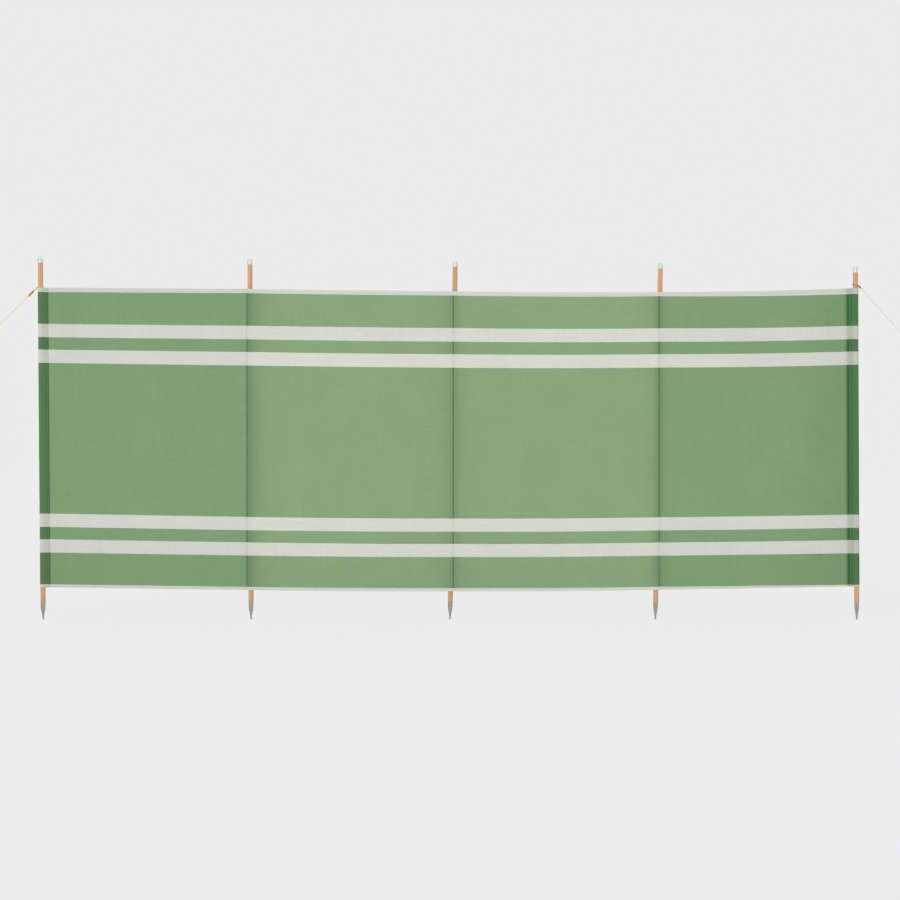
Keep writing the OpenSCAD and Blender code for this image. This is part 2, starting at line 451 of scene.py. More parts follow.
def turned_ash():
    """Ash dowel, sanded and left bare: warm, fairly matt wood with fine streaks up its length."""
    poles = bpy.context.scene.windbreak_poles
    material, tree = start_material("turned_ash")
    place = object_place(tree)
    rings = streaky(tree, place, RING_SIZE, 3, distortion=0.6)
    pores = streaky(tree, place, PORE_SIZE, 2)
    plank = cloudy(tree, place, PLANK_SIZE, 1)
    level = add(tree, "ShaderNodeSeparateXYZ", {"Vector": place}).outputs["Z"]
    tone = product(
        tree,
        spread(tree, pores, PORE_TONE, 1.0, *PORE_EDGE),
        about_one(tree, plank, PLANK_TONE),
        spread(tree, level, DAMP_TONE, 1.0, *DAMP_RANGE),
    )
    streak = spread(tree, rings, 0.0, 1.0, *RING_EDGE)
    tint = scaled(tree, blended(tree, streak, poles.wood_light, poles.wood_dark), tone)
    inputs = {
        "Base Color": tint,
        "Roughness": spread(tree, rings, 0.5, 0.7),
        "Normal": bumped(tree, pores, 0.3, 0.2 * MM),
        "Specular IOR Level": 0.35,
    }
    return finished(material, surface(tree, inputs))


def worn_metal(name, clean, dull, roughness, streak, stained):
    """Metal with fine drawing lines up its length and stains where its finish has gone dull."""
    material, tree = start_material(name)
    place = object_place(tree)
    lines = streaky(tree, place, (streak, streak, DRAWN_LENGTH), 3)
    amount = spread(tree, cloudy(tree, place, STAIN_SIZE, 4), 0.0, stained, *STAIN_EDGE)
    rough = compute(tree, "MULTIPLY_ADD", lines, DRAWN_ROUGHNESS, roughness)
    inputs = {
        "Base Color": blended(tree, amount, clean, dull),
        "Metallic": 1.0,
        "Roughness": compute(tree, "MULTIPLY_ADD", amount, STAIN_ROUGHNESS, rough),
        "Normal": bumped(tree, lines, 0.35, 0.1 * MM),
    }
    return finished(material, surface(tree, inputs))


def laid_fibre():
    """Laid polypropylene cord: fine fibres with a soft shine, amber where it is tied and handled."""
    ropes = bpy.context.scene.windbreak_ropes
    material, tree = start_material("laid_fibre")
    place = object_place(tree)
    fibre = cloudy(tree, place, FIBRE_SIZE, 3)
    wear = cloudy(tree, place, WEAR_SIZE, 2)
    tone = product(tree, spread(tree, fibre, *FIBRE_TONES), about_one(tree, wear, WEAR_TONE))
    inputs = {
        "Base Color": scaled(tree, blended(tree, attribute(tree, "tied"), ropes.cord, ropes.knot), tone),
        "Roughness": 0.5,
        "Normal": bumped(tree, fibre, 0.5, 0.15 * MM),
        "Sheen Weight": 0.15,
        "Sheen Roughness": 0.4,
    }
    return finished(material, surface(tree, inputs))


def material_of(name, maker, *details):
    """The material of that name, made the first time it is asked for."""
    return bpy.data.materials.get(name) or maker(*details)


def cloth_material(bay):
    """The cotton of a bay. The outer bays get a darker copy of it, which is painted shade."""
    cloth = bpy.context.scene.windbreak_cloth
    if bay in OUTER_BAYS:
        name, green, white = "outer_bay_cotton", cloth.outer_green_in_painted_shade, cloth.outer_white_in_painted_shade
    else:
        name, green, white = "middle_bay_cotton", cloth.green, cloth.white
    return material_of(name, striped_cotton, name, green, white, cloth.green_in_painted_shade, cloth.white_in_painted_shade)


def thread_material():
    return material_of("cotton_thread", cotton_thread)


def wood_material():
    return material_of("turned_ash", turned_ash)


def cord_material():
    return material_of("laid_fibre", laid_fibre)


def metal_material(name, clean, dull, **finish):
    return material_of(name, lambda: worn_metal(name, clean, linear(dull), **finish))


def cap_material():
    """Pressed aluminium, drawn bright and handled to a satin."""
    clean = bpy.context.scene.windbreak_poles.cap
    return metal_material(
        "pressed_aluminium", clean, "#a9aaac", roughness=0.18, streak=0.8 * MM, stained=0.3
    )


def spike_material():
    """Rolled sheet steel, dull and greenish grey from salt and sand."""
    clean = bpy.context.scene.windbreak_poles.spike
    return metal_material(
        "rolled_sheet_steel", clean, "#85836f", roughness=0.33, streak=0.6 * MM, stained=0.6
    )


def peg_material():
    """Drawn wire with a zinc coat: pale grey, cloudy and a little shiny."""
    clean = bpy.context.scene.windbreak_poles.zinc
    return metal_material(
        "zinc_coated_wire", clean, "#8d9092", roughness=0.24, streak=1.2 * MM, stained=0.6
    )


# ----------------------------------------------------------------------------- mesh tools


def add_piece(name, mesh, material, replaces=()):
    """Makes an object of a finished mesh or bmesh, and ties it to the frame."""
    if isinstance(mesh, bmesh.types.BMesh):
        data = bpy.data.meshes.new(name)
        mesh.to_mesh(data)
        mesh.free()
    else:
        data = mesh
    data.shade_smooth()
    data.materials.clear()
    data.materials.append(material)
    piece = bpy.data.objects.new(name, data)
    bpy.context.scene.collection.objects.link(piece)
    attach(piece, BODY)
    if replaces:
        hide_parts(*replaces)
    return piece


def grid_piece(columns, rows, place, weave=None, painted_shade=None):
    """A bmesh grid whose points are put at place(s, t), with the weave's UV map and the painted shade.

    columns and rows are the shares, from 0 to 1, at which its lines lie. Its last argument
    says, for s and t, how much painted shade darkens the green and the white yarn there.
    """
    mesh = bmesh.new()
    across, up = len(columns) - 1, len(rows) - 1
    bmesh.ops.create_grid(mesh, x_segments=across, y_segments=up, size=0.5)
    map_layer = mesh.loops.layers.uv.new("weave")
    green_layer = mesh.verts.layers.float.new("green_painted_shade")
    white_layer = mesh.verts.layers.float.new("white_painted_shade")
    mesh.verts.ensure_lookup_table()
    shares = []
    for vert in mesh.verts:
        s = columns[round((vert.co.x + 0.5) * across)]
        t = rows[round((vert.co.y + 0.5) * up)]
        shares.append((s, t))
        vert.co = place(s, t)
        vert[green_layer], vert[white_layer] = painted_shade(s, t) if painted_shade else (0.0, 0.0)
    for face in mesh.faces:
        for loop in face.loops:
            loop[map_layer].uv = weave(*shares[loop.vert.index]) if weave else shares[loop.vert.index]
    return mesh


def even(count):
    """Shares that split a length into count equal steps."""
    return [k / count for k in range(count + 1)]


def joined(meshes):
    """One bmesh of several, which are freed."""
    whole = bmesh.new()
    for mesh in meshes:
        data = bpy.data.meshes.new("part")
        mesh.to_mesh(data)
        mesh.free()
        whole.from_mesh(data)
        bpy.data.meshes.remove(data)
    return whole


# ----------------------------------------------------------------------------- cloth bays

SEAM_GAP = 0.1 * MM  # from a seam's middle to a bay's edge
GAP_REACH = 2 * MM  # over which a bay's cloth makes up for that gap
GROOVE_DEPTH = 0.4 * CLOTH_T
GROOVE_REACH = 0.8 * MM
ROLL_RISE = 1.5 * MM  # how far the cloth rolls forward beside a seam's groove
ROLL_START = 1.2 * MM
ROLL_REACH = 16 * MM
# How far an end pocket's allowance lies behind the bay, and over what length it fades out: painted shade,
# for the light the doubled cloth keeps out
END_ALLOWANCE_PAINTED_SHADE = {1: (1 * MM, 6 * MM), 5: (5 * MM, 12 * MM)}
WHITE_LAP_PAINTED_SHADE = 0.7  # how much of that painted shade the white yarn shows
LEFT_ROW = 3 * MM  # from a seam to the stitches on its left
SEAM_ROW = {2: 3 * MM, 3: 7 * MM, 4: 3 * MM}  # and to the stitches on its right
SEAM_LINE_PAINTED_SHADE = {2: 1.0, 3: 0.75, 4: 0.6}  # how much painted shade darkens an inner seam's groove
LINE_END, LINE_FADE = 2.4 * MM, 1.8 * MM
# Painted shade to the left and to the right of an inner seam, and over what length it clears:
# it stands for the shadow of the poles behind and of the seam allowances, which are pressed to the right.
SEAM_SHADE = {
    2: ((0.16, 9 * MM), (0.48, 42 * MM)),
    3: ((0.26, 45 * MM), (0.34, 30 * MM)),
    4: ((0.44, 24 * MM), (0.40, 16 * MM)),
}
WHITE_SHARE = 0.06  # how much of an inner seam's shade the white yarn shows
END_SHADE = {1: 0.04, 5: 0.13}  # how much darker an end bay looks toward its pocket
END_SHADE_REACH, END_SHADE_FADE = 0.33, 0.30
SEAM_MARGIN = (0.0, 1.0, 2.0, 3.2, 4.6, 6.4, 9.0, 13.0)  # millimetres from an edge to its columns
BAY_STEP = 10 * MM
ROW_STEP = 5 * MM

# Numbers that set the bays apart, so that no two have the same creases
BILLOW_SEED, DRIFT_SEED, FOLD_SEED, WAVE_SEED = 7.1, 9.7, 2.3, 1.9
CORNER_SEED = 1.7
HELD_MARGIN = 0.16  # beside a seam, where the cloth is held too tight to drift
EDGE_BELLY = 0.55  # how much a bay stands forward at its edges, beside its middle
BILLOW_MEAN, BILLOW_VARIES = 0.8, 0.4
DRIFTS_ACROSS, DRIFTS_UP = 2.6, 3.4
DRIFT_DEPTH = 2.6 * MM
FOLD_START = 0.09  # a corner's folds are full this far from it
FOLD_REACH = 0.30  # and die away over this length
FOLDS_PER_RADIAN = 11
FOLD_BEND, FOLD_BENDS_PER_METRE = 2.2, 5
WAVE_LENGTH = 0.23  # of a hem's waves
WAVE_BEND, WAVE_BENDS_PER_METRE = 2.0, 4
LOW_WAVE, LOW_WAVE_REACH = 1.8 * MM, 0.10
TOP_WAVE, TOP_WAVE_REACH = 1.1 * MM, 0.07
PUCKER_LENGTH = 24 * MM
PUCKER_BEND, PUCKER_BENDS_PER_METRE = 3, 20
PUCKER_START, PUCKER_REACH = 2 * MM, 10 * MM


def wander(*place):
    """Smooth noise between -1 and 1."""
    return noise.noise(Vector(place))


def stripe_height(pole, t):
    """Where the weave stands at a pole, t of the way up the cloth."""
    return t * CUT_HEIGHT + STRIPE_DROP[pole - 1] + STRIPE_BOW[pole - 1] * 4 * t * (1 - t)


def corner_folds(across, up, phase):
    """Shallow folds that fan out from a bay's corner. across and up are distances from it."""
    reach = math.hypot(across, up)
    angle = math.atan2(up, across)
    fade = smooth_step(reach / FOLD_START) * math.exp(-reach / FOLD_REACH)
    bend = FOLD_BEND * wander(across * FOLD_BENDS_PER_METRE, up * FOLD_BENDS_PER_METRE, phase)
    ripple = math.cos(angle * FOLDS_PER_RADIAN + phase + bend)
    return fade * ripple * math.sin(2 * angle) ** 2


def relief(bay, s, t):
    """How far behind its plane the cloth of a bay lies, at the share s across and t up."""
    cloth = bpy.context.scene.windbreak_cloth
    outline = OUTLINES[bay]
    left, right = s * outline.width, (1 - s) * outline.width
    low, top = t * outline.height, (1 - t) * outline.height
    held = smooth_step(left / HELD_MARGIN) * smooth_step(right / HELD_MARGIN)
    belly = math.sin(math.pi * s) * mix(EDGE_BELLY, 1.0, math.sin(math.pi * t))
    push = -cloth.billow * belly * (BILLOW_MEAN + BILLOW_VARIES * wander(bay * BILLOW_SEED, 0.3, 0.7))
    drift = wander(s * DRIFTS_ACROSS + bay * DRIFT_SEED, t * DRIFTS_UP, bay) * DRIFT_DEPTH * held
    folds = 0.0
    for k, (across, up) in enumerate(((left, low), (right, low), (left, top), (right, top))):
        folds += corner_folds(across, up, CORNER_SEED * k + FOLD_SEED * bay)
    # The hems are a little longer than the cloth between them, so both edges wave.
    bend = WAVE_BEND * wander(left * WAVE_BENDS_PER_METRE, bay, 1.5)
    wave = math.cos(left * math.tau / WAVE_LENGTH + WAVE_SEED * bay + bend)
    low_wave = math.exp(-low / LOW_WAVE_REACH) * LOW_WAVE
    top_wave = math.exp(-top / TOP_WAVE_REACH) * TOP_WAVE
    return push + drift + folds * cloth.fold + wave * held * (low_wave + top_wave)


def pucker(bay, s, t):
    """The small gathers that the stitches pull into the cloth beside a seam."""
    cloth = bpy.context.scene.windbreak_cloth
    near = min(s, 1 - s) * OUTLINES[bay].width
    level = t * OUTLINES[bay].height
    side = 0 if s < 0.5 else 1
    bend = PUCKER_BEND * wander(level * PUCKER_BENDS_PER_METRE, bay, side)
    beat = math.sin(level * math.tau / PUCKER_LENGTH + bend)
    return cloth.pucker * beat * math.exp(-near / PUCKER_REACH) * smooth_step(near / PUCKER_START)


def seam_offset(distance):
    """How far back the cloth lies beside an inner seam: forward on the roll, back in the groove."""
    groove = GROOVE_DEPTH * math.exp(-distance / GROOVE_REACH)
    roll = (1 - math.exp(-distance / ROLL_START)) * math.exp(-distance / ROLL_REACH)
    return groove - ROLL_RISE * roll


def bay_point(bay, s, t):
    """The place of a point of the cloth, s across and t up, with all that shapes it."""
    outline = OUTLINES[bay]
    point = outline.flat(s, t)
    point.y += relief(bay, s, t) + pucker(bay, s, t)
    for pole, near, inward in ((bay, s * outline.width, 1), (bay + 1, (1 - s) * outline.width, -1)):
        if pole in INNER_POLES:
            point.x += inward * SEAM_GAP * math.exp(-near / GAP_REACH)
            point.y += seam_offset(near)
    return point


def bay_weave(bay, s, t):
    """Where a point lies on the weave: along the cloth, and up it from the lowest stripe."""
    height = mix(stripe_height(bay, t), stripe_height(bay + 1, t), s)
    return (OUTLINES[bay].low_left.x + s * OUTLINES[bay].width, height)


def bay_painted_shade(bay, s):
    """How much painted shade darkens the two yarns: on and beside a seam, over an end pocket's allowance and
    toward the end pocket.
    """
    outline = OUTLINES[bay]
    green, white = 0.0, 0.0
    for pole, near in ((bay, s * outline.width), (bay + 1, (1 - s) * outline.width)):
        if pole in INNER_POLES:
            # Painted shade: a dark line in the seam's groove and the shadow of the pole beside it.
            depth, reach = SEAM_SHADE[pole][pole == bay]
            line = SEAM_LINE_PAINTED_SHADE[pole] * smooth_step((LINE_END - near) / LINE_FADE)
            shade = line + depth * math.exp(-near / reach)
            green += shade
            white += shade * WHITE_SHARE
        else:
            # Painted shade: the pocket's allowance behind the cloth, and a fade toward the end pocket.
            flat_part, fade = END_ALLOWANCE_PAINTED_SHADE[pole]
            lapped_painted_shade = smooth_step((flat_part + fade - near) / fade)
            shade = END_SHADE[pole] * smooth_step((END_SHADE_REACH - near) / END_SHADE_FADE)
            green += lapped_painted_shade + shade
            white += WHITE_LAP_PAINTED_SHADE * lapped_painted_shade + shade
    return min(green, 1.0), min(white, 1.0)


def bay_columns(width):
    """Columns that are close together beside the seams and even between them."""
    margin = [d * MM / width for d in SEAM_MARGIN]
    inner = round((width - 2 * SEAM_MARGIN[-1] * MM) / BAY_STEP)
    middle = [mix(margin[-1], 1 - margin[-1], k / inner) for k in range(1, inner)]
    return margin + middle + [1 - share for share in reversed(margin)]


HEM_DEPTH = 16 * MM
# painted shade on the hems, for the doubled cloth there
HEM_PAINTED_SHADE = (0.45, 0.45)
BAY_FOLD_R = 0.9 * MM
POCKET_FOLD_R = 0.3 * MM
FOLD_TURNS = 5
TUCK_TURNS = 3


def hem_path(fold_r):
    """A hem in section: how far in from the cloth's edge, and how far behind it, each point lies.

    The numbers are shares of the hem's depth and multiples of the fold's radius.
    """
    path = []
    for k in range(FOLD_TURNS + 1):
        angle = math.pi * k / FOLD_TURNS
        path.append((fold_r - fold_r * math.sin(angle), fold_r - fold_r * math.cos(angle)))
    path.append((HEM_DEPTH * 0.5, 1.75 * fold_r))
    # The raw edge is tucked under, so the hem ends in a second and smaller fold.
    for k in range(TUCK_TURNS + 1):
        angle = math.pi * k / TUCK_TURNS
        inset = HEM_DEPTH - fold_r * 0.5 * (1 - math.sin(angle))
        path.append((inset, fold_r * (1.2 + 0.5 * math.cos(angle))))
    path.append((HEM_DEPTH * 0.6, 0.7 * fold_r))
    return path


def hem_mesh(columns, fold_r, at_top, height, point, behind, weave):
    """The folded strip along the upper or the lower edge of a sheet."""
    path = hem_path(fold_r)
    steps = len(path) - 1

    def level(index):
        inset = path[index][0] / height
        return 1 - inset if at_top else inset

    def place(s, f):
        index = round(f * steps)
        return point(s, level(index)) + behind(s, level(index)) * path[index][1]

    def weave_at(s, f):
        return weave(s, level(round(f * steps)))

    mesh = grid_piece(columns, even(steps), place, weave_at, lambda s, f: HEM_PAINTED_SHADE)
    if not at_top:
        bmesh.ops.reverse_faces(mesh, faces=mesh.faces)
    return mesh


def add_hems(name, material, columns, fold_r, height, point, behind, weave):
    """The upper and the lower hem of a sheet."""
    hems = []
    for edge, at_top in (("upper", True), ("lower", False)):
        strip = hem_mesh(columns, fold_r, at_top, height, point, behind, weave)
        hems.append(add_piece(f"{name}_{edge}_hem", strip, material))
    return hems


STITCH_PITCH = 4.5 * MM  # drawn a little longer than the real 3 mm
STITCH_LENGTH = 3.4 * MM
STITCH_THICKNESS = 0.7 * MM
STITCH_RISE = 0.15 * MM  # from the cloth's front to a thread's middle
HEM_RISE = 1.75 * MM  # and to the thread on the back of a hem
HEM_ROW = 13 * MM  # from the cloth's edge to the hem's stitches
FRONT = Vector((0, -1, 0))
BACK = Vector((0, 1, 0))


def stitch_row(points):
    """A row of stitches: short raised threads, end to end along the points."""
    row = bmesh.new()
    size = Matrix.Diagonal((STITCH_LENGTH / 2, STITCH_THICKNESS / 2, STITCH_THICKNESS / 2, 1))
    for here, there in zip(points, points[1:]):
        turn = (there - here).to_track_quat("X", "Z").to_matrix().to_4x4()
        middle = Matrix.Translation((here + there) / 2)
        bmesh.ops.create_icosphere(row, subdivisions=1, radius=1, matrix=middle @ turn @ size)
    return row


class WINDBREAK_OT_cloth_bays(bpy.types.Operator):
    """Build the four bays of striped cloth with their hems and stitches"""

    bl_idname = "windbreak.cloth_bays"
    bl_label = "Cloth bays"

    def execute(self, context):
        for bay in BAYS:
            outline = OUTLINES[bay]
            columns = bay_columns(outline.width)
            rows = even(round(outline.height / ROW_STEP))
            material = cloth_material(bay)

            def place(s, t):
                return bay_point(bay, s, t)

            def weave(s, t):
                return bay_weave(bay, s, t)

            sheet = add_piece(
                f"bay_{bay}_sheet",
                grid_piece(columns, rows, place, weave, lambda s, t: bay_painted_shade(bay, s)),
                material,
                [f"cloth_bay_{bay}"],
            )
            hems = add_hems(
                f"bay_{bay}", material, columns, BAY_FOLD_R,
                outline.height, place, lambda s, t: BACK, weave,
            )
            threads = add_piece(
                f"bay_{bay}_hem_stitches", self.hem_stitches(bay), thread_material()
            )
        return {"FINISHED"}

    def hem_stitches(self, bay):
        """One row along each hem, seen on the front and on the back."""
        outline = OUTLINES[bay]
        count = round(outline.width / STITCH_PITCH)
        rows = []
        for level in (HEM_ROW / outline.height, 1 - HEM_ROW / outline.height):
            for offset in (FRONT * STITCH_RISE, BACK * HEM_RISE):
                rows.append(stitch_row([bay_point(bay, s, level) + offset for s in even(count)]))
        return joined(rows)


# -------------------------------------------------------------------------------- pockets


class Loop:
    """A sheet's way round a pole, seen from above: straight from a start to the sleeve, round, and back."""

    def __init__(self, centre, start, radius):
        reach = (start - centre).length
        self.centre, self.start, self.radius = centre, start, radius
        self.facing = math.atan2(start.y - centre.y, start.x - centre.x)
        self.opening = math.acos(min(1.0, radius / reach))
        self.straight = math.sqrt(max(0.0, reach**2 - radius**2))
        self.length = 2 * self.straight + radius * (math.tau - 2 * self.opening)

    def on_arc(self, angle):
        return self.centre + Vector((math.cos(angle), math.sin(angle))) * self.radius

    def at(self, f):
        """The point f of the way along, and the direction that faces out from the pole."""
        first = self.facing + self.opening
        last = self.facing - self.opening + math.tau
        way = f * self.length
        if way < self.straight:
            point = self.start.lerp(self.on_arc(first), way / self.straight)
            angle = first
        elif way > self.length - self.straight:
            point = self.start.lerp(self.on_arc(last), (self.length - way) / self.straight)
            angle = last
        else:
            angle = first + (way - self.straight) / self.radius
            point = self.on_arc(angle)
        return point, Vector((math.cos(angle), math.sin(angle)))


POCKET_COLUMNS = 40
# painted shade on the inner pockets, for the doubled cloth round the poles
INNER_POCKET_PAINTED_SHADE = (0.2, 0.2)
LOOSE = 0.25 * MM  # how far a pocket stands off its pole's sleeve
LOOSE_END, LOOSE_END_REACH = 0.5 * MM, 0.03  # and how much further at its open ends
CREASE, CREASES_ROUND, CREASES_PER_METRE, CREASE_SEED = 0.35 * MM, 2.4, 16, 5.3
POCKET_ROWS = (3 * MM, 15 * MM)  # from the bay's edge to an end pocket's two rows of stitches
# Painted shade on the green and the white yarn round the pole, for the doubled cloth there,
# and how much more on the flat part beside it and, as painted shadow, at the stitches
END_POCKET_PAINTED_SHADE = {
    1: {"round_pole": (0.64, 0.10), "flat_part": (0.06, 0.10), "lines": (0.10, 0.06), "flat": 16 * MM},
    5: {"round_pole": (0.73, 0.48), "flat_part": (0.12, 0.35), "lines": (0.08, 0.12), "flat": 20 * MM},
}
FLAT_FADE = 4 * MM
STITCH_SHADOW = 2 * MM


def pocket_height(pole, t):
    """The height of a pocket's cloth, t of the way up."""
    low, top = seam_span(pole)
    return mix(low.z, top.z, t)


def pocket_loop(pole, t):
    """A pocket's loop at a height. An inner one starts in the seam, an end one at its bay's edge."""
    low, top = seam_span(pole)
    axis = POLES[pole].at(pocket_height(pole, t))
    if pole in INNER_POLES:
        start = Vector((low.x, CLOTH_Y + GROOVE_DEPTH))
    else:
        start = Vector((mix(low.x, top.x, t), CLOTH_Y))
    return Loop(Vector((axis.x, axis.y)), start, SLEEVE_R)


def ease(pole, f, t):
    """How far a pocket's cloth stands off its tight line, so that it is loose and a little creased."""
    low, top = seam_span(pole)
    level = mix(low.z, top.z, t)
    ends = math.exp(-(level - low.z) / LOOSE_END_REACH) + math.exp(-(top.z - level) / LOOSE_END_REACH)
    crease = wander(f * CREASES_ROUND, level * CREASES_PER_METRE, pole * CREASE_SEED)
    return math.sin(math.pi * f) * (CREASE * crease + LOOSE_END * ends + LOOSE)


def pocket_point(pole, f, t):
    """The point f of the way round the pole and t of the way up."""
    point, out = pocket_loop(pole, t).at(f)
    point = point + out * ease(pole, f, t)
    return Vector((point.x, point.y, pocket_height(pole, t)))


def pocket_inward(pole, f, t):
    """The direction from there to the pole."""
    out = pocket_loop(pole, t).at(f)[1]
    return Vector((-out.x, -out.y, 0))


def add_pocket(name, pole, material, painted_shade, replaced, threads_name, stitches):
    """A pocket, from its seam round the pole and back, with a hem at each end and its stitches."""
    low, top = seam_span(pole)
    height = top.z - low.z
    columns = even(POCKET_COLUMNS)
    length_round = pocket_loop(pole, 0.5).length

    def place(f, t):
        return pocket_point(pole, f, t)

    def weave(f, t):
        return (low.x + f * length_round, stripe_height(pole, t))

    sheet = add_piece(
        name,
        grid_piece(columns, even(round(height / ROW_STEP)), place, weave, painted_shade),
        material,
        [replaced],
    )
    hems = add_hems(
        name, material, columns, POCKET_FOLD_R,
        height, place, lambda f, t: pocket_inward(pole, f, t), weave,
    )
    threads = add_piece(threads_name, stitches, thread_material())


class WINDBREAK_OT_pole_pockets(bpy.types.Operator):
    """Build the three tucks of cloth that hold the inner poles behind the seams"""

    bl_idname = "windbreak.pole_pockets"
    bl_label = "Pole pockets"

    def execute(self, context):
        for pole in INNER_POLES:
            add_pocket(
                f"pocket_{pole}_sheet",
                pole,
                cloth_material(pole),
                lambda f, t: INNER_POCKET_PAINTED_SHADE,
                f"pole_pocket_{pole}",
                f"seam_{pole}_stitches",
                self.seam_stitches(pole),
            )
        return {"FINISHED"}

    def seam_stitches(self, pole):
        """One row on each side of the seam's groove."""
        left_share = 1 - LEFT_ROW / OUTLINES[pole - 1].width
        right_share = SEAM_ROW[pole] / OUTLINES[pole].width
        rows = []
        for bay, s in ((pole - 1, left_share), (pole, right_share)):
            count = round(OUTLINES[bay].height / STITCH_PITCH)
            rows.append(stitch_row([bay_point(bay, s, t) + FRONT * STITCH_RISE for t in even(count)]))
        return joined(rows)


class WINDBREAK_OT_end_pockets(bpy.types.Operator):
    """Build the pockets that hold the end poles, sewn down with two rows of stitches"""

    bl_idname = "windbreak.end_pockets"
    bl_label = "End pockets"

    def execute(self, context):
        for side, pole in SIDES.items():
            add_pocket(
                f"{side}_pocket_sheet",
                pole,
                cloth_material(1 if side == "left" else 4),
                lambda f, t: self.painted_shade(pole, f, t),
                f"end_pocket_{side}",
                f"{side}_pocket_stitches",
                self.pocket_stitches(pole),
            )
        return {"FINISHED"}

    def painted_shade(self, pole, f, t):
        """Painted shade for the doubled cloth all over, darkest on the flat part, with painted shadow at its
        two stitched lines.
        """
        look = END_POCKET_PAINTED_SHADE[pole]
        way = min(f, 1 - f) * pocket_loop(pole, t).length
        flat_part = smooth_step((look["flat"] - way) / FLAT_FADE)
        lines = sum(math.exp(-(((way - row) / STITCH_SHADOW) ** 2) / 2) for row in POCKET_ROWS)
        pairs = zip(look["round_pole"], look["flat_part"], look["lines"])
        return tuple(min(1.0, whole + more * flat_part + dark * lines) for whole, more, dark in pairs)

    def pocket_stitches(self, pole):
        """Rows at both edges of the seam allowance, on the front and on the back."""
        low, top = seam_span(pole)
        count = round((top.z - low.z) / STITCH_PITCH)
        rows = []
        for way in POCKET_ROWS:
            for from_back in (False, True):
                points = []
                for t in even(count):
                    f = way / pocket_loop(pole, t).length
                    f = 1 - f if from_back else f
                    points.append(pocket_point(pole, f, t) - pocket_inward(pole, f, t) * STITCH_RISE)
                rows.append(stitch_row(points))
        return joined(rows)


# ------------------------------------------------------------------ poles, caps and spikes

BEAD_R = 0.55 * MM
BEAD_SUNK = 0.1 * MM  # how far the bead's middle lies inside the cap's side
BEAD_HEIGHT = 0.6 * MM  # above the cap's mouth
BEAD_SEGMENTS, BEAD_STEPS = 8, 40
SPIKE_TIP_R, SPIKE_TIP_H = 3.5 * MM, 12 * MM  # the blunt tip below the spike's cone
STRIP_FACING = math.radians(-104)
STRIP_COLUMNS, STRIP_ROWS = 4, 16
STRIP_THICKNESS = 0.25 * MM
# From the spike's foot or top to the strips' ends, their half widths at both ends, and how far
# they stand off the spike
LAP_FOOT, LAP_TOP, LAP_WIDTHS, LAP_RAISED = 10 * MM, 11 * MM, (0.7 * MM, 1.5 * MM), 0.3 * MM
NOTCH_FOOT, NOTCH_TOP, NOTCH_WIDTHS, NOTCH_RAISED = 12 * MM, 0.4 * MM, (0.3 * MM, 2.3 * MM), 0.2 * MM
NAIL_DROP = 8 * MM
NAIL_FACING = math.radians(-55)
NAIL_R = 1.5 * MM
NAIL_FLATNESS = 0.5


def dress(node, material):
    """Gives a CAD node its material."""
    piece = frame["nodes"][node]
    piece.data.materials.clear()
    piece.data.materials.append(material)


class WINDBREAK_OT_poles(bpy.types.Operator):
    """Give the five poles their wood"""

    bl_idname = "windbreak.poles"
    bl_label = "Poles"

    def execute(self, context):
        for pole in POLES:
            dress(f"pole_{pole}", wood_material())
        return {"FINISHED"}


class WINDBREAK_OT_caps(bpy.types.Operator):
    """Give the caps their metal and a rolled bead at the mouth"""

    bl_idname = "windbreak.caps"
    bl_label = "Caps"

    def execute(self, context):
        for pole in POLES:
            dress(f"cap_{pole}", cap_material())
            add_piece(f"cap_{pole}_bead", self.bead(pole), cap_material())
        return {"FINISHED"}

    def bead(self, pole):
        """A ring at the mouth of a cap."""
        low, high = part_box(f"cap_{pole}")
        radius = (high.y - low.y) / 2 - BEAD_SUNK
        bead = bmesh.new()
        bmesh.ops.create_circle(bead, segments=BEAD_SEGMENTS, radius=BEAD_R)
        upright = Matrix.Translation((radius, 0, 0)) @ Matrix.Rotation(math.pi / 2, 4, "X")
        bmesh.ops.transform(bead, matrix=upright, verts=bead.verts)
        bmesh.ops.spin(
            bead,
            geom=bead.verts[:] + bead.edges[:],
            cent=(0, 0, 0),
            axis=(0, 0, 1),
            angle=math.tau,
            steps=BEAD_STEPS,
            use_merge=True,
        )
        bmesh.ops.recalc_face_normals(bead, faces=bead.faces)
        line = POLES[pole]
        turn = Vector((0, 0, 1)).rotation_difference(line.up).to_matrix().to_4x4()
        place = Matrix.Translation(line.at(low.z + BEAD_HEIGHT)) @ turn
        bmesh.ops.transform(bead, matrix=place, verts=bead.verts)
        return bead


